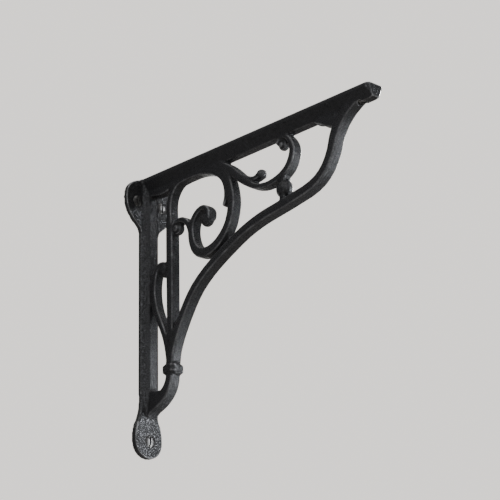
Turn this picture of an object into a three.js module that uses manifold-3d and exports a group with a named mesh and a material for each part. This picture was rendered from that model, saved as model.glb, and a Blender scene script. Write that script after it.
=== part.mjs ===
// Ornate cast iron bracket with its slotted screws. Millimetres, +Z up.
// The back face is the plane y = 0 and the arm reaches out along -Y, flat on top.
// The origin is on the back face, midway between the two upper screw holes.
import * as THREE from 'three';
import * as BufferGeometryUtils from 'three/addons/utils/BufferGeometryUtils.js';
import Module from 'manifold-3d';

const wasm = await Module();
wasm.setup();

// Overall sizes
const armReach = 238;
const uprightDrop = 217;
const screwDrop = 19.2;

// Arm: square edges, sloped flanks and a flat along the middle, with a blunt tip
const armWidth = 15.5;
const armEdge = 3.3;
const armFlat = 6.5;
const armDepthAtRoot = 12.4;
const armDepthAtTip = 10.5;
const tipBevel = 2.6;
const tipSideBevel = 1.8;
const tipRidgeBevel = 0.6;

// Upright: the same section, smaller, its ridge sloping off above the lug
const uprightWidth = 17.2;
const uprightEdge = 3.2;
const uprightFlat = 6.6;
const uprightDepth = 7.6;
const ridgeEndRise = 38;
const ridgeEndSlope = 6.5;
const ridgeEndStep = 0.6;

// Ears at the top of the upright: heights are drops from the arm's top
const earThickness = 3.9;
const earSpread = 23.8;
const earReach = 11.1;
const earShoulderDrop = 1;
const earWidestDrop = 17;
const earHipDrop = 33;
const earHipInset = 6.4;
const earLength = 43;

// Lug at the foot of the upright, a little to one side as it was cast
const lugThickness = 4.9;
const lugHalfWidth = 12.8;
const lugLength = 43;
const lugWidestRise = 13.8;
const lugNeckDrop = 12;
const lugNeckInset = 1.4;
const lugOffset = -1.8;
const lugHoleOffset = -0.6;
const lugHoleRise = 13;

// Boss under the arm around its inner screw
const bossDrop = 3.2;
const bossMargin = 0.7;
const bossFlare = 0.8;

// Scrollwork: thickness along X of each family of strands
const braceThickness = 9.8;
const scrollThickness = 9;
const finialThickness = 8.6;
const stemThickness = 7.4;
const curlThickness = 8.2;
const webThickness = 8.2;
const sectionRoundness = 6;
const strandSides = 12;
const stationsPerPoint = 2;
const knobSegments = 13;
const knobRings = 8;

// Collar around the brace above the foot
const collarOut = 28.8;
const collarDrop = 155.3;
const collarDepth = 13.2;
const collarThickness = 12.4;
const collarHeight = 9;
const collarBevel = 2.2;

// Slotted screws: the ears and the lug take the larger kind, the arm the smaller
const largeHeadRadius = 4.4;
const largeShankRadius = 2.4;
const largeHeadCone = 2.4;
const largeHeadDome = 0.9;
const smallHeadRadius = 3.2;
const smallShankRadius = 1.9;
const smallHeadCone = 1.9;
const smallHeadDome = 0.5;
const screwHeadSink = 0.8;
const innerArmScrewInset = 51;
const outerArmScrewInset = 13;
const uprightSlotTurn = 1.5;
const innerArmSlotTurn = 0.4;
const outerArmSlotTurn = 1.1;
const slotWidth = 1.1;
const slotDepth = 0.9;
const screwGap = 0.3;
const screwSegments = 12;
const cutterOverrun = 4;
const cutterHeadroom = 12;

const armTop = screwDrop;
const lugBottom = armTop - uprightDrop;
const halfSpread = earSpread / 2;

// The scrollwork is a free form drawn on a bracket of this reach and drop, and it
// stretches with the arm and the upright.
const drawnReach = 238;
const drawnDrop = 217;
const outScale = armReach / drawnReach;
const downScale = uprightDrop / drawnDrop;

// Each strand is a list of [out from the back face, down from the arm's top, width]
const braceLine = [
  [224, 5, 8.6], [213, 11, 9], [205, 18.6, 9], [199.6, 28, 8.2], [196.8, 37, 7.6],
  [191, 47.3, 7.2], [182.4, 54.8, 7.2], [170, 59.2, 7.4], [131, 65.2, 7.6],
  [119.7, 67.5, 7.4], [106.2, 71.6, 7], [91.2, 78.2, 6.8], [80, 83.8, 6.6], [68.7, 90.2, 6.6],
  [56.3, 99.7, 6.8], [47.3, 110.7, 6.8], [36.6, 128, 7], [31, 140, 7.6], [29.4, 148, 7.6],
  [28.8, 156, 6.8], [28.4, 162.4, 6.8], [26, 168.4, 7.8], [21, 173.4, 8.8], [14.4, 177, 9.4],
  [8, 180, 8.6], [3.6, 185.5, 5],
];
const mainScroll = [
  [80, 6, 7], [87.4, 16.5, 7], [92.5, 27, 7], [95.2, 37, 7], [96, 46.5, 7],
  [92.4, 60, 7], [85.5, 68.7, 7.2], [77.5, 74, 7.6], [68.6, 76, 7.8], [60.7, 74, 7.6],
  [55.9, 68.6, 7.2], [53.4, 61.3, 6.4], [52.9, 54.5, 6], [54.5, 48.3, 5.4], [58.2, 43.4, 4.8],
  [63.5, 40.7, 4.4], [68.5, 41.6, 4.2], [71.3, 45.5, 4.2], [70.4, 49.5, 4.6],
];
const archLine = [
  [4, 11.2, 5.4], [12, 12, 7], [20, 13, 7.4], [27, 13, 6.4], [36, 11.8, 5.2], [58, 11.1, 5.2],
  [67, 12.3, 5.2], [76.4, 15.6, 5], [85, 21.3, 5], [89.2, 27.3, 5], [91, 34.7, 4.8],
  [90.3, 40.8, 4], [87.8, 45.4, 2.2],
];
const postLine = [
  [44.6, 10.2, 4.8], [36.9, 13.2, 5], [31.4, 19.4, 5], [29, 27, 5.2], [28.8, 37, 6],
  [29.1, 50, 7.2], [29.3, 90, 7.2], [29.6, 134, 6],
];
const sweepCurve = [
  [64, 9.6, 4.6], [77, 12.2, 6.2], [88, 15.7, 7.4], [97, 21.8, 7.2], [106.5, 30.6, 6.4],
  [114.5, 37, 5], [122.5, 41.4, 4.4], [131, 43.1, 4.5], [139.2, 42.6, 4.8], [147, 40.5, 5.4],
  [153.6, 36.4, 6], [157.7, 30, 6], [158.9, 23.5, 5.5], [156.8, 17, 4.4], [152.4, 12.2, 3.8],
  [147.4, 11.8, 3.8], [144.6, 15.6, 3.6],
];
const budStem = [[104, 27, 4], [112, 31.8, 3.8], [118.5, 34.2, 3.8], [124, 33, 4]];
const cornerWeb = [[184, 9.8, 6.8], [192, 12.4, 10.2], [201, 16, 10]];
const footWeb = [[22, 171.5, 6], [16, 173, 9.5], [10, 174, 15], [4, 175, 20]];
const footWebCover = 1;
const ballNeck = [[149, 40, 4.4], [148, 46, 4.8], [147.4, 55, 5], [147, 62, 5]];
const sideCurl = [
  [52.6, 58, 5], [50.8, 51.6, 4.8], [47.6, 46.4, 4.6], [42.8, 43.2, 4.2], [37, 43, 3.8],
  [32.8, 45.8, 3.6], [32.4, 49.6, 3.2],
];
const innerScroll = [
  [23.6, 73.2, 4], [18.8, 72.2, 4.2], [14.2, 75.9, 4.8], [11.5, 83, 5.4], [10.9, 94, 5.6],
  [13.5, 106.5, 5.6], [16.9, 114.5, 5.4], [20.5, 122, 5.2], [23.7, 130, 5], [25.8, 138, 4.8],
  [27.4, 147, 4.8],
];

// Round ends and the ball: [out, down, in-plane radius, radius along X]
const knobs = [
  [67.6, 50, 5.6, 4.8],
  [35.9, 48.2, 4.9, 4.6],
  [148, 17.4, 4, 4.3],
  [124.7, 32.2, 3.8, 4.2],
  [22.4, 76.6, 6.2, 4.4],
  [147.5, 50.6, 6.9, 5.6],
];

function solidFrom(geometry) {
  const bare = geometry.index ? geometry.clone() : geometry;
  bare.deleteAttribute('normal');
  bare.deleteAttribute('uv');
  const merged = BufferGeometryUtils.mergeVertices(bare, 1e-4);
  const mesh = new wasm.Mesh({
    numProp: 3,
    vertProperties: new Float32Array(merged.attributes.position.array),
    triVerts: new Uint32Array(merged.index.array),
  });
  return new wasm.Manifold(mesh);
}

function geometryFrom(solid) {
  const mesh = solid.getMesh();
  const geometry = new THREE.BufferGeometry();
  geometry.setAttribute('position', new THREE.BufferAttribute(new Float32Array(mesh.vertProperties), 3));
  geometry.setIndex(new THREE.BufferAttribute(new Uint32Array(mesh.triVerts), 1));
  return geometry;
}

// Closed body through rings of points that all have the same count
function loft(rings) {
  const positions = [];
  const index = [];
  const count = rings[0].length;
  for (const ring of rings) {
    for (const point of ring) {
      positions.push(point.x, point.y, point.z);
    }
  }
  for (let r = 0; r + 1 < rings.length; r += 1) {
    for (let i = 0; i < count; i += 1) {
      const a = r * count + i;
      const b = r * count + (i + 1) % count;
      index.push(a, b, b + count, a, b + count, a + count);
    }
  }
  const capEnds = [[0, true], [(rings.length - 1) * count, false]];
  for (const [start, reversed] of capEnds) {
    for (let i = 1; i + 1 < count; i += 1) {
      const corners = [start, start + i, start + i + 1];
      index.push(...(reversed ? corners.reverse() : corners));
    }
  }
  const geometry = new THREE.BufferGeometry();
  geometry.setAttribute('position', new THREE.Float32BufferAttribute(positions, 3));
  geometry.setIndex(index);
  return geometry;
}

// A strand's section is a rounded rectangle: width across the strand, thickness along X
function strandRing(centre, normal, width, thickness) {
  const ring = [];
  const rounded = (value) => Math.sign(value) * Math.abs(value) ** (2 / sectionRoundness);
  for (let i = 0; i < strandSides; i += 1) {
    const angle = (2 * Math.PI * i) / strandSides;
    const across = (width / 2) * rounded(Math.sin(angle));
    const along = (thickness / 2) * rounded(Math.cos(angle));
    ring.push(new THREE.Vector3(along, centre.y + normal.y * across, centre.z + normal.z * across));
  }
  return ring;
}

// Past each end of a strand: shares of the width to go on, and of the section left there
const endRounding = [[0.5, 0.85], [0.85, 0.45]];

function strand(line, thickness) {
  const curve = new THREE.CatmullRomCurve3(line.map(([out, down, width]) => (
    new THREE.Vector3(width, -out * outScale, armTop - down * downScale))), false, 'centripetal');
  const steps = (line.length - 1) * stationsPerPoint;
  const nearby = 1e-3;
  const stationAt = (i) => {
    const here = curve.getPoint(i / steps);
    const ahead = curve.getPoint(Math.min(i / steps + nearby, 1));
    const behind = curve.getPoint(Math.max(i / steps - nearby, 0));
    const tangent = new THREE.Vector3(0, ahead.y - behind.y, ahead.z - behind.z).normalize();
    return { here, tangent, width: here.x };
  };
  const ringAt = ({ here, tangent, width }, forward, share) => {
    const centre = here.clone().addScaledVector(tangent, forward * width);
    const normal = new THREE.Vector3(0, tangent.z, -tangent.y);
    return strandRing(centre, normal, width * share, thickness * share);
  };
  const rings = [];
  for (const [forward, share] of [...endRounding].reverse()) {
    rings.push(ringAt(stationAt(0), -forward / 2, share));
  }
  for (let i = 0; i <= steps; i += 1) {
    rings.push(ringAt(stationAt(i), 0, 1));
  }
  for (const [forward, share] of endRounding) {
    rings.push(ringAt(stationAt(steps), forward / 2, share));
  }
  return solidFrom(loft(rings));
}

function knob([out, down, radius, halfThickness]) {
  const ball = new THREE.SphereGeometry(1, knobSegments, knobRings);
  ball.scale(halfThickness, radius, radius);
  ball.translate(0, -out * outScale, armTop - down * downScale);
  return solidFrom(ball);
}

// Half of a bar's section as [along X, depth], mirrored to a closed ring
function barSection({ width, edge, flat, depth }, place) {
  const half = [[-width / 2, 0], [-width / 2, edge], [-flat / 2, depth]];
  const mirrored = half.map(([x, d]) => [-x, d]).reverse();
  return [...half, ...mirrored].map(([x, d]) => place(x, d));
}

const armDepthAt = (out) => armDepthAtRoot + (armDepthAtTip - armDepthAtRoot) * (out / armReach);

function armSolid() {
  const ringAt = (out, sideBevel, ridgeBevel) => barSection({
    width: armWidth - 2 * sideBevel,
    edge: armEdge,
    flat: armFlat,
    depth: armDepthAt(out) - ridgeBevel,
  }, (x, depth) => new THREE.Vector3(x, -out, armTop - depth));
  return solidFrom(loft([
    ringAt(0, 0, 0),
    ringAt(armReach - tipBevel, 0, 0),
    ringAt(armReach, tipSideBevel, tipRidgeBevel),
  ]));
}

function uprightSolid() {
  const ringAt = (z, depth) => barSection({
    width: uprightWidth,
    edge: uprightEdge,
    flat: uprightFlat,
    depth,
  }, (x, y) => new THREE.Vector3(-x, -y, z));
  const ridgeEnd = lugBottom + ridgeEndRise;
  return solidFrom(loft([
    ringAt(armTop, uprightDepth),
    ringAt(ridgeEnd, uprightDepth),
    ringAt(ridgeEnd - ridgeEndSlope, uprightEdge + ridgeEndStep),
  ]));
}

// Extrudes an outline drawn on the back face out along -Y
function plate(shape, thickness, divisions) {
  const depth = { depth: thickness, bevelEnabled: false, curveSegments: divisions };
  const body = new THREE.ExtrudeGeometry(shape, depth);
  body.rotateX(Math.PI / 2);
  return solidFrom(body);
}

// Right-hand edge of the ears from the shoulder down to the root, as curve handles
function earEdge() {
  const side = halfSpread + earReach;
  const half = uprightWidth / 2;
  const shoulder = armTop - earShoulderDrop;
  const widest = armTop - earWidestDrop;
  const hip = armTop - earHipDrop;
  return [
    [[half - 1, shoulder]],
    [[half + 8, shoulder - 1.4], [side, widest + 10], [side, widest]],
    [[side, widest - 8], [side - 3, hip + 3.4], [side - earHipInset, hip]],
    [[half + 4, hip - 4.6], [half, hip - 5.6], [half, armTop - earLength]],
  ];
}

function earsSolid() {
  const [start, ...curves] = earEdge();
  const shape = new THREE.Shape();
  shape.moveTo(...start[0]);
  for (const handles of curves) {
    shape.bezierCurveTo(...handles.flat());
  }
  const backwards = earEdge().flat().reverse().map(([x, z]) => [-x, z]);
  shape.lineTo(...backwards[0]);
  for (let i = 1; i < backwards.length; i += 3) {
    shape.bezierCurveTo(...backwards.slice(i, i + 3).flat());
  }
  shape.closePath();
  return plate(shape, earThickness, 7);
}

// The lug's outline goes round from its left neck to its right neck
function lugSolid() {
  const top = lugBottom + lugLength;
  const widest = lugBottom + lugWidestRise;
  const left = lugOffset - lugHalfWidth;
  const right = lugOffset + lugHalfWidth;
  const half = uprightWidth / 2;
  const roundness = 7.5;
  const shape = new THREE.Shape();
  shape.moveTo(-half, top);
  shape.bezierCurveTo(-half, top - 13, left, widest + 13, left, widest);
  shape.bezierCurveTo(left, widest - 8, lugOffset - roundness, lugBottom, lugOffset, lugBottom);
  shape.bezierCurveTo(lugOffset + roundness, lugBottom, right, widest - 8, right, widest);
  shape.bezierCurveTo(
    right,
    widest + 10,
    half - lugNeckInset - 1,
    top - lugNeckDrop + 3,
    half - lugNeckInset,
    top - lugNeckDrop,
  );
  shape.lineTo(half, top);
  shape.closePath();
  return plate(shape, lugThickness, 9);
}

// Square with bevelled corners and edges
function collarSolid() {
  const middle = new THREE.Vector3(0, -collarOut * outScale, armTop - collarDrop * downScale);
  const ringAt = (rise, inset) => {
    const y = collarDepth / 2 - inset;
    const x = collarThickness / 2 - inset;
    const cutY = y - collarBevel;
    const cutX = x - collarBevel;
    const corners = [[x, cutY], [cutX, y], [-cutX, y], [-x, cutY],
      [-x, -cutY], [-cutX, -y], [cutX, -y], [x, -cutY]];
    return corners.map(([px, py]) => new THREE.Vector3(px, py, rise).add(middle));
  };
  const half = collarHeight / 2;
  return solidFrom(loft([
    ringAt(-half, collarBevel),
    ringAt(-half + collarBevel, 0),
    ringAt(half - collarBevel, 0),
    ringAt(half, collarBevel),
  ]));
}

// A tapered boss from inside the arm down past its flat, around the inner arm screw
function bossSolid() {
  const out = armReach - innerArmScrewInset;
  const flat = armDepthAt(out);
  const tipRadius = smallHeadRadius + screwGap + bossMargin;
  const body = turned([
    new THREE.Vector2(0, -flat - bossDrop),
    new THREE.Vector2(tipRadius, -flat - bossDrop),
    new THREE.Vector2(tipRadius + bossFlare, -flat / 2),
    new THREE.Vector2(0, -flat / 2),
  ]);
  return placed(body, { at: [0, -out, armTop], turn: new THREE.Euler(0, 0, 0) });
}

// A countersunk screw pointing along +Z with its head's rim at z = 0
function screwBody({ head, shank, cone, dome }, length) {
  const profile = [
    new THREE.Vector2(0, -length),
    new THREE.Vector2(shank, -length),
    new THREE.Vector2(shank, -cone),
    new THREE.Vector2(head, 0),
    new THREE.Vector2(head * 0.82, dome * 0.55),
    new THREE.Vector2(head * 0.5, dome * 0.9),
    new THREE.Vector2(0, dome),
  ];
  return turned(profile);
}

// What is cut away for a screw: its own shape with a gap all round, open above the head
function screwCutter({ head, shank, cone }, length) {
  const profile = [
    new THREE.Vector2(0, -length - cutterOverrun),
    new THREE.Vector2(shank + screwGap, -length - cutterOverrun),
    new THREE.Vector2(shank + screwGap, -cone - screwGap),
    new THREE.Vector2(head + screwGap, -screwGap),
    new THREE.Vector2(head + screwGap, cutterHeadroom),
    new THREE.Vector2(0, cutterHeadroom),
  ];
  return turned(profile);
}

function turned(profile) {
  const body = new THREE.LatheGeometry(profile, screwSegments);
  body.rotateX(Math.PI / 2);
  return solidFrom(body);
}

function slottedScrew(kind, length, slotTurn) {
  const slot = new THREE.BoxGeometry(kind.head * 3, slotWidth, slotDepth * 2);
  slot.translate(0, 0, kind.dome * 0.75);
  slot.rotateZ(slotTurn);
  return screwBody(kind, length).subtract(solidFrom(slot));
}

const largeScrew = {
  head: largeHeadRadius,
  shank: largeShankRadius,
  cone: largeHeadCone,
  dome: largeHeadDome,
};
const smallScrew = {
  head: smallHeadRadius,
  shank: smallShankRadius,
  cone: smallHeadCone,
  dome: smallHeadDome,
};

// A screw through the upright's plates: its head's rim lies this far out from the back face
function forwardScrew(x, z, rimOut) {
  return {
    kind: largeScrew,
    length: rimOut,
    at: [x, -rimOut, z],
    turn: new THREE.Euler(Math.PI / 2, 0, 0),
    slot: uprightSlotTurn,
  };
}

// A screw up through the arm, its head sunk in the arm's flat or in a boss below it
function downwardScrew(inset, belowFlat, slot) {
  const out = armReach - inset;
  const rimDown = armDepthAt(out) + belowFlat - screwHeadSink;
  return {
    kind: smallScrew,
    length: rimDown,
    at: [0, -out, armTop - rimDown],
    turn: new THREE.Euler(Math.PI, 0, 0),
    slot,
  };
}

const screws = {
  ear_screw_left: forwardScrew(-halfSpread, 0, earThickness),
  ear_screw_right: forwardScrew(halfSpread, 0, earThickness),
  lug_screw: forwardScrew(lugHoleOffset, lugBottom + lugHoleRise, lugThickness - screwHeadSink),
  arm_screw_inner: downwardScrew(innerArmScrewInset, bossDrop, innerArmSlotTurn),
  arm_screw_outer: downwardScrew(outerArmScrewInset, 0, outerArmSlotTurn),
};

function placed(solid, { at, turn }) {
  const geometry = geometryFrom(solid);
  geometry.applyMatrix4(new THREE.Matrix4().makeRotationFromEuler(turn).setPosition(...at));
  return solidFrom(geometry);
}

// The foot's web is cut off inside the upright, so that the back stays flat
function castingSolid() {
  const pieces = [
    armSolid(),
    uprightSolid(),
    earsSolid(),
    lugSolid(),
    collarSolid(),
    bossSolid(),
    strand(braceLine, braceThickness),
    strand(mainScroll, scrollThickness),
    strand(archLine, finialThickness),
    strand(postLine, finialThickness),
    strand(sweepCurve, finialThickness),
    strand(budStem, stemThickness),
    strand(ballNeck, stemThickness),
    strand(cornerWeb, finialThickness),
    strand(footWeb, webThickness).trimByPlane([0, -1, 0], footWebCover),
    strand(sideCurl, curlThickness),
    strand(innerScroll, curlThickness),
    ...knobs.map(knob),
  ];
  let casting = pieces.reduce((whole, piece) => whole.add(piece));
  for (const screw of Object.values(screws)) {
    casting = casting.subtract(placed(screwCutter(screw.kind, screw.length), screw));
  }
  return casting;
}

const castIron = new THREE.MeshStandardMaterial({ color: 0x303034, roughness: 0.5, metalness: 0.1 });
const screwSteel = new THREE.MeshStandardMaterial({ color: 0x8c8a86, roughness: 0.35, metalness: 1 });

const bracket = new THREE.Group();
const casting = new THREE.Mesh(geometryFrom(castingSolid()), castIron);
casting.name = 'bracket_casting';
bracket.add(casting);

for (const [name, screw] of Object.entries(screws)) {
  const body = placed(slottedScrew(screw.kind, screw.length, screw.slot), screw);
  const mesh = new THREE.Mesh(geometryFrom(body), screwSteel);
  mesh.name = name;
  bracket.add(mesh);
}

export default bracket;
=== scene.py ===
import math

import bmesh
import bpy
import numpy as np
from mathutils import Matrix, Vector


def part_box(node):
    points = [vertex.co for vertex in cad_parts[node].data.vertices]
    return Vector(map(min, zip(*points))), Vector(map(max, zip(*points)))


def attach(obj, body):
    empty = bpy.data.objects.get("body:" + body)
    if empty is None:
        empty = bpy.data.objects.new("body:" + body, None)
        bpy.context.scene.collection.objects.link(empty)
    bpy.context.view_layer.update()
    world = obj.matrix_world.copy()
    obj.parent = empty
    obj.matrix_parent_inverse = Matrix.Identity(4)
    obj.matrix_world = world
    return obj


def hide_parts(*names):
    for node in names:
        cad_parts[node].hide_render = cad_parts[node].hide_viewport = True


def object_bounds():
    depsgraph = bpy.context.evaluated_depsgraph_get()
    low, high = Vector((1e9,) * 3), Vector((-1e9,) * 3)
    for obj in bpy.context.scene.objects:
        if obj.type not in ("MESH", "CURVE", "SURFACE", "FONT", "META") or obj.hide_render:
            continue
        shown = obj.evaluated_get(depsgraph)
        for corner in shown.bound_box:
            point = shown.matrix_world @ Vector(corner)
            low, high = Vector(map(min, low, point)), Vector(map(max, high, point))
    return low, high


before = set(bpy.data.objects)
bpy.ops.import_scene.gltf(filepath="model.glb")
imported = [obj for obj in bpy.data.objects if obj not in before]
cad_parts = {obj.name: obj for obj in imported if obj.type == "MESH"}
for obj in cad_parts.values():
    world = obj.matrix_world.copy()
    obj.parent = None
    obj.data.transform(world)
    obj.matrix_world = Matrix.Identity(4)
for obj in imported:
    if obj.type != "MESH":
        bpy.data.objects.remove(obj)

cad_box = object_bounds()
scene = bpy.context.scene

# The photograph's camera, in the part's frame
LENS_MM = 160.5
SENSOR_MM = 36.0
CLIP_RANGE = (0.05, 60.0)
CAMERA_PLACE = Vector((-1.0290, -1.1745, -0.6300))
CAMERA_RIGHT = Vector((0.7228, -0.6908, -0.0161))
CAMERA_UP = Vector((-0.2350, -0.2676, 0.9341))
CAMERA_FORWARD = Vector((0.6498, 0.6717, 0.3554))

# The casting's mesh, in metres
VOXEL = 0.00062
SMOOTH_PASSES = 3
SMOOTH_STRENGTH = 0.5
TRIANGLE_LIMIT = 190000
FILLET_START = 0.10
FILLET_SPREAD = 4
FILLET_GAIN = 1.4
FILLET_PASSES = 60
FILLET_STRENGTH = 0.5

# The neck, where the upright runs out into the lug, in metres. The lug's edges follow the
# upright's flanks above the second height, keep their own shape below the first, and are left
# alone from NECK_TRIM_REACH above the first.
NECK_HEIGHTS = (-0.164, -0.158)
NECK_TRIM_REACH = 0.03
NECK_DEPTH = 0.0062
NECK_SOFT_RANGE = (-0.172, -0.150)
NECK_SOFTNESS = 0.25
UPRIGHT_HALF_WIDTH = 0.0086
UPRIGHT_EDGE = 0.0032
FLANK_SLOPE = 0.83

# Floor and backdrop
FLOOR_DROP = 1.0
FLOOR_SIZE = 14.0
FLOOR_COLOUR = (0.72, 0.70, 0.67)
FLOOR_ROUGHNESS = 0.9
BACKDROP_COLOUR = (1.36, 1.31, 1.25)
ROOM_COLOUR = (0.185, 0.183, 0.188)

# Directions that front faces mirror into the camera: upright, slightly overhanging, sloping
# and nearly underside faces
FRONT_MIRRORS = [
    (0.65, -0.67, 0.355), (0.65, -0.76, -0.03), (0.65, -0.65, -0.40), (0.65, -0.30, -0.70),
]
BEAM_LENGTH = 0.6
BEAM_SIZE = (0.10, 0.10)
BEAM_SPREAD = 0.21

# Beams: the target, and the watts of the beam from each direction in FRONT_MIRRORS
BEAMS = {
    "lower_beam": ((0, -0.02, -0.16), (0.013, 0.026, 0.0085, 0.0085)),
    "outer_beam": ((0, -0.18, -0.04), (0.008, 0.017, 0.025)),
    "ear_beam": ((0.022, 0, 0.02), (0.013,)),
}

# Other lamps: place, target, size, watts, colour and spread
COOL = (0.96, 0.98, 1.0)
COOLER = (0.93, 0.96, 1.0)
WARM = (1.0, 0.99, 0.97)
WARMER = (1.0, 0.985, 0.96)
MIDDLE = (0, -0.11, -0.08)
OUTER_BRACE = (0, -0.19, -0.03)
LAMPS = {
    "right_box": ((0.42, -0.1, 0.105), OUTER_BRACE, (0.12, 0.2), 0.13, WARMER, 0.3),
    "back_fill": ((0.8, 1.8, 0.5), MIDDLE, (1.4, 1.4), 9, WARM, math.pi),
    "left_fill": ((-1.5, -0.9, 0.5), MIDDLE, (1.4, 1.4), 12, COOL, math.pi),
    "ceiling": ((0.0, -0.2, 2.4), (0, -0.2, 0), (3.0, 3.0), 40, WARM, math.pi),
}

# Volute eyes on the scroll ends, in metres: out from the back face, down from the arm's
# top, the round end's radius and the groove's depth
VOLUTE_EYES = [
    (0.0359, 0.0482, 0.0049, 0.00075),
    (0.1480, 0.0174, 0.0040, 0.00075),
    (0.0676, 0.0500, 0.0056, 0.00030),
    (0.0224, 0.0766, 0.0062, 0.00030),
]
EYE_RING = 0.62
EYE_RING_WIDTH = 0.17

# Iron: noise scales per metre, and each ramp's stops as position and value
BROAD_SCALE = 30
GRAIN_SCALE = 900
GRAIN_ROUGHNESS = 0.65
DIMPLE_SCALE = 240
PATCH_SCALE = 150
PAINT = [(0.35, (0.009, 0.0092, 0.0105)), (0.7, (0.014, 0.0142, 0.016))]
GRAIN_SHADE = [(0.40, 0.30), (0.60, 1.5)]
SPECKS = [(0.50, 0), (0.575, 0.74)]
SPECK_COLOUR = (0.08, 0.08, 0.085)
SPECKS_ON_STRANDS = 0.6
# Convex edges turn a lighter grey: partly rubbed paint, partly a painted highlight along the
# edges
WORN_AND_HIGHLIT_EDGES = [(0.515, 0), (0.56, 1)]
WORN_AND_HIGHLIT_PATCHES = [(0.40, 0.4), (0.60, 1)]
WORN_AND_HIGHLIGHT_COLOUR = (0.40, 0.40, 0.41)
WORN_ROUGHNESS = 0.30
WORN_METAL = 0.7
# Painted shade: the colour is darkened in the concave hollows and creases where strands meet
PAINTED_SHADE_IN_HOLLOWS = [(0.42, 0.35), (0.49, 1)]
DIMPLE_ROUGHNESS = [(0.3, 0.29), (0.7, 0.42)]
GRAIN_MATT = [(0.42, 1.9), (0.56, 0.68)]
GRAIN_BUMP = (1.0, 0.0005)
DIMPLE_BUMP = (0.45, 0.0009)

# Where the specks reach full strength on the plates, in metres along Y
PLATES_FRONT = (-0.0068, -0.0052)

# Screw steel
STAIN_SCALE = 420
STAIN_ROUGHNESS = 0.65
STEEL = [(0.35, (0.05, 0.05, 0.05)), (0.62, (0.24, 0.235, 0.23))]
STEEL_ROUGHNESS = [(0.35, 0.5), (0.65, 0.30)]
STEEL_GRAIN_SCALE = 1500
STEEL_BUMP = (0.3, 0.0001)

# Screws, in metres and radians
SCREW_SIDES = 48
DOME_STEPS = 6
SLOT_WIDTH = 0.0013
SLOT_DEPTH = 0.0009
SLOT_OVERRUN = 3
SLOT_LIFT = 0.75
DOME_POWER = 3
LARGE_SCREW = {"shank": 0.0024, "cone": 0.0024, "dome": 0.0009}
SMALL_SCREW = {"shank": 0.0019, "cone": 0.0019, "dome": 0.0005}
UPRIGHT_SLOT_TURN = 1.5
INNER_ARM_SLOT_TURN = 0.4
OUTER_ARM_SLOT_TURN = 1.1
SHARP_ANGLE = math.radians(32)


def make_camera():
    """The photograph's viewing angle."""
    data = bpy.data.cameras.new("camera")
    data.sensor_width = SENSOR_MM
    data.lens = LENS_MM
    data.clip_start, data.clip_end = CLIP_RANGE
    camera = bpy.data.objects.new("camera", data)
    turn = Matrix((CAMERA_RIGHT, CAMERA_UP, -CAMERA_FORWARD)).transposed()
    camera.matrix_world = Matrix.Translation(CAMERA_PLACE) @ turn.to_4x4()
    scene.collection.objects.link(camera)
    scene.camera = camera


def add_lamp(name, place, target, size, power, colour, spread):
    data = bpy.data.lights.new(name, "AREA")
    data.shape = "RECTANGLE"
    data.size, data.size_y = size
    data.energy = power
    data.color = colour
    data.spread = spread
    lamp = bpy.data.objects.new(name, data)
    lamp.location = place
    lamp.rotation_euler = (Vector(target) - Vector(place)).to_track_quat("-Z", "Y").to_euler()
    lamp.visible_camera = False
    scene.collection.objects.link(lamp)


def make_world():
    """A pale plain backdrop, and a dimmer room that lights the part."""
    world = bpy.data.worlds.new("studio")
    world.use_nodes = True
    tree = world.node_tree
    room = tree.nodes["Background"]
    room.inputs["Color"].default_value = (*ROOM_COLOUR, 1)
    backdrop = add_node(tree, "ShaderNodeBackground")
    backdrop.inputs["Color"].default_value = (*BACKDROP_COLOUR, 1)
    path = add_node(tree, "ShaderNodeLightPath")
    choice = add_node(tree, "ShaderNodeMixShader")
    tree.links.new(path.outputs["Is Camera Ray"], choice.inputs["Fac"])
    tree.links.new(room.outputs["Background"], choice.inputs[1])
    tree.links.new(backdrop.outputs["Background"], choice.inputs[2])
    tree.links.new(choice.outputs["Shader"], tree.nodes["World Output"].inputs["Surface"])
    scene.world = world


def make_floor():
    mesh = bpy.data.meshes.new("floor")
    half = FLOOR_SIZE / 2
    height = cad_box[0].z - FLOOR_DROP
    corners = [(-half, -half), (half, -half), (half, half), (-half, half)]
    mesh.from_pydata([(x, y, height) for x, y in corners], [], [(0, 1, 2, 3)])
    floor = bpy.data.objects.new("floor", mesh)
    scene.collection.objects.link(floor)
    material, _, shader = new_material("floor")
    shader.inputs["Base Color"].default_value = (*FLOOR_COLOUR, 1)
    shader.inputs["Roughness"].default_value = FLOOR_ROUGHNESS
    mesh.materials.append(material)


def make_lamps():
    """Gridded beams that light the front faces round their targets, and wide soft lamps."""
    for name, (target, powers) in BEAMS.items():
        for number, (direction, power) in enumerate(zip(FRONT_MIRRORS, powers)):
            place = Vector(target) + BEAM_LENGTH * Vector(direction)
            add_lamp(f"{name}_{number}", place, target, BEAM_SIZE, power, COOLER, BEAM_SPREAD)
    for name, settings in LAMPS.items():
        add_lamp(name, *settings)


def add_node(tree, kind, **values):
    node = tree.nodes.new(kind)
    for name, value in values.items():
        setattr(node, name, value)
    return node


def noise(tree, scale, detail, roughness=0.55):
    coordinates = add_node(tree, "ShaderNodeTexCoord")
    texture = add_node(tree, "ShaderNodeTexNoise")
    texture.inputs["Scale"].default_value = scale
    texture.inputs["Detail"].default_value = detail
    texture.inputs["Roughness"].default_value = roughness
    tree.links.new(coordinates.outputs["Object"], texture.inputs["Vector"])
    return texture.outputs["Fac"]


def ramp(tree, source, stops):
    node = add_node(tree, "ShaderNodeValToRGB")
    elements = node.color_ramp.elements
    while len(elements) < len(stops):
        elements.new(0.5)
    for element, (position, colour) in zip(elements, stops):
        element.position = position
        element.color = (*colour, 1)
    tree.links.new(source, node.inputs["Fac"])
    return node.outputs["Color"]


def grey(value):
    return (value, value, value)


def grey_ramp(tree, source, stops):
    return ramp(tree, source, [(position, grey(value)) for position, value in stops])


def multiply(tree, first, second):
    return mix(tree, 1.0, first, second, "MULTIPLY")


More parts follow.
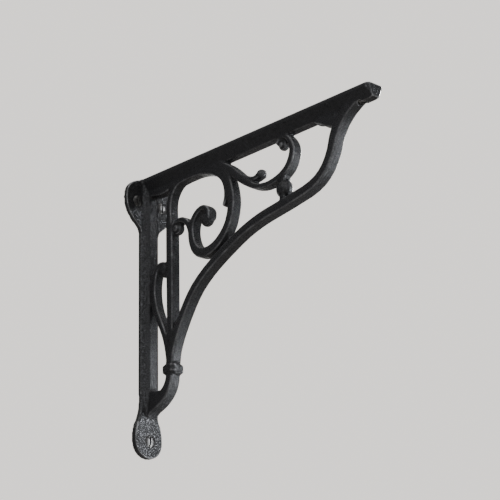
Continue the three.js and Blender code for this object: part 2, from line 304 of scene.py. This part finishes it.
def mix(tree, factor, first, second, kind="MIX"):
    node = add_node(tree, "ShaderNodeMix", data_type="RGBA", blend_type=kind)
    for name, value in (("Factor", factor), ("A", first), ("B", second)):
        wanted = "VALUE" if name == "Factor" else "RGBA"
        socket = [s for s in node.inputs if s.name == name and s.type == wanted][0]
        if isinstance(value, (int, float)):
            socket.default_value = value
        elif isinstance(value, tuple):
            socket.default_value = (*value, 1)
        else:
            tree.links.new(value, socket)
    return [s for s in node.outputs if s.type == "RGBA"][0]


def add_bump(tree, height, strength, distance, normal=None):
    node = add_node(tree, "ShaderNodeBump")
    node.inputs["Strength"].default_value = strength
    node.inputs["Distance"].default_value = distance
    tree.links.new(height, node.inputs["Height"])
    if normal:
        tree.links.new(normal, node.inputs["Normal"])
    return node.outputs["Normal"]


def new_material(name):
    material = bpy.data.materials.new(name)
    material.use_nodes = True
    tree = material.node_tree
    return material, tree, tree.nodes["Principled BSDF"]


def plates_mask(tree):
    """1 on the plates against the back, 0 on the arm and the strands in front of them."""
    coordinates = add_node(tree, "ShaderNodeTexCoord")
    axes = add_node(tree, "ShaderNodeSeparateXYZ")
    tree.links.new(coordinates.outputs["Object"], axes.inputs["Vector"])
    mask = add_node(tree, "ShaderNodeMapRange")
    mask.inputs["From Min"].default_value, mask.inputs["From Max"].default_value = PLATES_FRONT
    tree.links.new(axes.outputs["Y"], mask.inputs["Value"])
    return mask.outputs["Result"]


def iron_material():
    """Satin black paint over a sandy casting, rubbed thin along the edges, where a painted
    highlight also lightens them, and with painted shade in the hollows.
    """
    material, tree, shader = new_material("satin_black_iron")
    grain = noise(tree, GRAIN_SCALE, 3, GRAIN_ROUGHNESS)
    dimples = noise(tree, DIMPLE_SCALE, 3)
    pointiness = add_node(tree, "ShaderNodeNewGeometry").outputs["Pointiness"]

    patches = grey_ramp(tree, noise(tree, PATCH_SCALE, 4), WORN_AND_HIGHLIT_PATCHES)
    # Mask for the lighter edges: partly worn paint, partly a painted highlight
    wear_and_edge_highlight = multiply(tree, grey_ramp(tree, pointiness, WORN_AND_HIGHLIT_EDGES), patches)
    speck_strength = mix(tree, plates_mask(tree), grey(SPECKS_ON_STRANDS), grey(1))
    specks = multiply(tree, grey_ramp(tree, grain, SPECKS), speck_strength)

    paint = ramp(tree, noise(tree, BROAD_SCALE, 4), PAINT)
    colour = multiply(tree, paint, grey_ramp(tree, grain, GRAIN_SHADE))
    colour = mix(tree, specks, colour, SPECK_COLOUR)
    # Worn paint and painted highlight: the edges turn lighter grey
    colour = mix(tree, wear_and_edge_highlight, colour, WORN_AND_HIGHLIGHT_COLOUR)
    # Painted shade in the concave hollows
    colour = multiply(tree, colour, grey_ramp(tree, pointiness, PAINTED_SHADE_IN_HOLLOWS))
    tree.links.new(colour, shader.inputs["Base Color"])

    roughness = grey_ramp(tree, dimples, DIMPLE_ROUGHNESS)
    roughness = multiply(tree, roughness, grey_ramp(tree, grain, GRAIN_MATT))
    roughness = mix(tree, wear_and_edge_highlight, roughness, grey(WORN_ROUGHNESS))
    tree.links.new(roughness, shader.inputs["Roughness"])

    metal = mix(tree, 1.0, multiply(tree, wear_and_edge_highlight, grey(WORN_METAL)), specks, "LIGHTEN")
    tree.links.new(metal, shader.inputs["Metallic"])
    normal = add_bump(tree, grain, *GRAIN_BUMP)
    normal = add_bump(tree, dimples, *DIMPLE_BUMP, normal)
    tree.links.new(normal, shader.inputs["Normal"])
    return material


def screw_material():
    material, tree, shader = new_material("worn_screw_steel")
    stains = noise(tree, STAIN_SCALE, 5, STAIN_ROUGHNESS)
    tree.links.new(ramp(tree, stains, STEEL), shader.inputs["Base Color"])
    shader.inputs["Metallic"].default_value = 1.0
    tree.links.new(grey_ramp(tree, stains, STEEL_ROUGHNESS), shader.inputs["Roughness"])
    normal = add_bump(tree, noise(tree, STEEL_GRAIN_SCALE, 3), *STEEL_BUMP)
    tree.links.new(normal, shader.inputs["Normal"])
    return material


def apply_modifiers(piece):
    bpy.context.view_layer.update()
    graph = bpy.context.evaluated_depsgraph_get()
    mesh = bpy.data.meshes.new_from_object(piece.evaluated_get(graph))
    piece.modifiers.clear()
    old = piece.data
    piece.data = mesh
    bpy.data.meshes.remove(old)


def read_points(mesh):
    points = np.empty(len(mesh.vertices) * 3)
    mesh.vertices.foreach_get("co", points)
    return points.reshape(-1, 3)


def write_points(mesh, points):
    mesh.vertices.foreach_set("co", points.ravel())
    mesh.update()


def read_normals(mesh):
    normals = np.empty(len(mesh.vertices) * 3)
    mesh.vertices.foreach_get("normal", normals)
    return normals.reshape(-1, 3)


def read_edges(mesh):
    edges = np.empty(len(mesh.edges) * 2, dtype=np.int64)
    mesh.edges.foreach_get("vertices", edges)
    return edges.reshape(-1, 2)


def neighbour_mean(values, edges, counts):
    """The mean of each point's neighbours along its edges, column by column."""
    total = np.zeros_like(values)
    for axis in range(values.shape[1]):
        column = values[:, axis]
        size = len(column)
        total[:, axis] = np.bincount(edges[:, 0], column[edges[:, 1]], size)
        total[:, axis] += np.bincount(edges[:, 1], column[edges[:, 0]], size)
    return total / counts[:, None]


def trim_neck(mesh):
    """Sets the lug's edges back into the upright's flanks above the lug."""
    points = read_points(mesh)
    across, depth, height = np.abs(points[:, 0]), points[:, 1], points[:, 2]
    low, high = NECK_HEIGHTS
    share = np.clip((height - low) / (high - low), 0, 1)
    flank = -UPRIGHT_EDGE - (UPRIGHT_HALF_WIDTH - across) * FLANK_SLOPE
    near = (depth > -NECK_DEPTH) & (depth < flank) & (height < low + NECK_TRIM_REACH)
    points[:, 1] += share * (flank - depth) * near
    return points


def neck_weight(points):
    """How far the smoothing reaches the neck, where the upright's ridge ends."""
    low, high = NECK_SOFT_RANGE
    neck = (points[:, 1] > -NECK_DEPTH) & (points[:, 2] > low) & (points[:, 2] < high)
    return NECK_SOFTNESS * neck[:, None]


def round_hollows(mesh):
    """Trims the neck, then rounds it and the inner corners where strands meet. The outer
    edges stay as they are."""
    points = trim_neck(mesh)
    edges = read_edges(mesh)
    counts = np.bincount(edges.ravel(), minlength=len(points)).astype(float)
    lift = neighbour_mean(points, edges, counts) - points
    lift = (lift * read_normals(mesh)).sum(1) / VOXEL
    weight = (lift > FILLET_START).astype(float)[:, None]
    for _ in range(FILLET_SPREAD):
        weight = np.maximum(weight, neighbour_mean(weight, edges, counts))
    weight = np.clip(weight * FILLET_GAIN, 0, 1)
    weight = FILLET_STRENGTH * np.maximum(weight, neck_weight(points))
    for _ in range(FILLET_PASSES):
        points += weight * (neighbour_mean(points, edges, counts) - points)
    write_points(mesh, points)


def carve_eyes(mesh):
    """Cuts a ring into both sides of the round scroll ends, as the photographed volutes show."""
    points = read_points(mesh)
    top = cad_box[1].z
    for out, down, radius, depth in VOLUTE_EYES:
        share = np.hypot(points[:, 1] + out, points[:, 2] - top + down) / radius
        ring = np.exp(-((share - EYE_RING) / EYE_RING_WIDTH) ** 2) * (share < 1)
        points[:, 0] -= np.sign(points[:, 0]) * np.minimum(depth * ring, np.abs(points[:, 0]))
    write_points(mesh, points)


def inside_box(mesh, low, high):
    """Keeps every point within the CAD model's box."""
    write_points(mesh, np.clip(read_points(mesh), np.array(low), np.array(high)))


def finish_mesh(piece, material):
    piece.data.materials.clear()
    piece.data.materials.append(material)
    smooth = np.ones(len(piece.data.polygons), dtype=bool)
    piece.data.polygons.foreach_set("use_smooth", smooth)


def casting_piece(material):
    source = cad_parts["bracket_casting"]
    piece = bpy.data.objects.new("cast_bracket", source.data.copy())
    scene.collection.objects.link(piece)
    remesh = piece.modifiers.new("remesh", "REMESH")
    remesh.mode = "VOXEL"
    remesh.voxel_size = VOXEL
    smooth = piece.modifiers.new("smooth", "SMOOTH")
    smooth.factor = SMOOTH_STRENGTH
    smooth.iterations = SMOOTH_PASSES
    apply_modifiers(piece)
    round_hollows(piece.data)
    carve_eyes(piece.data)
    triangles = 2 * len(piece.data.polygons)
    if triangles > TRIANGLE_LIMIT:
        thin = piece.modifiers.new("thin", "DECIMATE")
        thin.ratio = TRIANGLE_LIMIT / triangles
        apply_modifiers(piece)
    low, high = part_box("bracket_casting")
    inside_box(piece.data, low, high)
    finish_mesh(piece, material)
    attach(piece, "root")
    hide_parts("bracket_casting")


def screw_profile(radius, length, kind):
    """Radius and height of a countersunk screw's outline, its rim at height 0."""
    dome = kind["dome"]
    outline = []
    for i in range(DOME_STEPS + 1):
        share = i / DOME_STEPS
        outline.append((radius * share, dome * (1 - share ** DOME_POWER)))
    outline.append((kind["shank"], -kind["cone"]))
    outline.append((kind["shank"], dome - length))
    outline.append((0, dome - length))
    return outline


def turned_mesh(name, outline):
    """A closed body of revolution about Z."""
    shape = bmesh.new()
    rings = []
    for radius, height in outline:
        sides = SCREW_SIDES if radius else 1
        turns = [2 * math.pi * i / sides for i in range(sides)]
        places = [(radius * math.cos(t), radius * math.sin(t), height) for t in turns]
        rings.append([shape.verts.new(place) for place in places])
    for first, second in zip(rings, rings[1:]):
        for i in range(SCREW_SIDES):
            corners = [first[i % len(first)], second[i % len(second)]]
            corners += [second[(i + 1) % len(second)], first[(i + 1) % len(first)]]
            shape.faces.new(list(dict.fromkeys(corners)))
    bmesh.ops.recalc_face_normals(shape, faces=shape.faces)
    mesh = bpy.data.meshes.new(name)
    shape.to_mesh(mesh)
    shape.free()
    return mesh


def cut_slot(piece, radius, dome, turn):
    """Cuts the driver's slot across the head."""
    block = bmesh.new()
    bmesh.ops.create_cube(block, size=1)
    size = (SLOT_OVERRUN * radius, SLOT_WIDTH, 2 * SLOT_DEPTH)
    bmesh.ops.scale(block, vec=size, verts=block.verts)
    bmesh.ops.translate(block, vec=(0, 0, SLOT_LIFT * dome), verts=block.verts)
    bmesh.ops.rotate(block, matrix=Matrix.Rotation(turn, 3, "Z"), verts=block.verts)
    mesh = bpy.data.meshes.new("slot")
    block.to_mesh(mesh)
    block.free()
    cutter = bpy.data.objects.new("slot", mesh)
    scene.collection.objects.link(cutter)
    cut = piece.modifiers.new("slot", "BOOLEAN")
    cut.operation = "DIFFERENCE"
    cut.object = cutter
    apply_modifiers(piece)
    bpy.data.objects.remove(cutter)
    bpy.data.meshes.remove(mesh)


def keep_edges_sharp(mesh):
    """Marks the hard edges, so that smooth shading stops at them."""
    shape = bmesh.new()
    shape.from_mesh(mesh)
    for edge in shape.edges:
        edge.smooth = edge.is_manifold and edge.calc_face_angle() < SHARP_ANGLE
    shape.to_mesh(mesh)
    shape.free()


def screw_piece(node, kind, slot_turn, head_turn, material):
    """A detailed screw where the CAD screw is: its head faces -Y, or -Z for head_turn pi."""
    low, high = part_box(node)
    radius = (high.x - low.x) / 2
    turn = Matrix.Rotation(head_turn, 4, "X")
    head = turn.to_3x3() @ Vector((0, 0, 1))
    length = abs((high - low).dot(head))
    rim = (low + high) / 2 + head * (length / 2 - kind["dome"])
    mesh = turned_mesh(node + "_detailed", screw_profile(radius, length, kind))
    piece = bpy.data.objects.new(node + "_detailed", mesh)
    scene.collection.objects.link(piece)
    cut_slot(piece, radius, kind["dome"], slot_turn)
    piece.data.transform(Matrix.Translation(rim) @ turn)
    finish_mesh(piece, material)
    keep_edges_sharp(piece.data)
    inside_box(piece.data, low, high)
    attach(piece, "root")
    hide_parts(node)


def make_screws(material):
    forwards, downwards = math.pi / 2, math.pi
    for node in ("ear_screw_left", "ear_screw_right", "lug_screw"):
        screw_piece(node, LARGE_SCREW, UPRIGHT_SLOT_TURN, forwards, material)
    screw_piece("arm_screw_inner", SMALL_SCREW, INNER_ARM_SLOT_TURN, downwards, material)
    screw_piece("arm_screw_outer", SMALL_SCREW, OUTER_ARM_SLOT_TURN, downwards, material)


make_camera()
make_world()
make_floor()
make_lamps()
casting_piece(iron_material())
make_screws(screw_material())
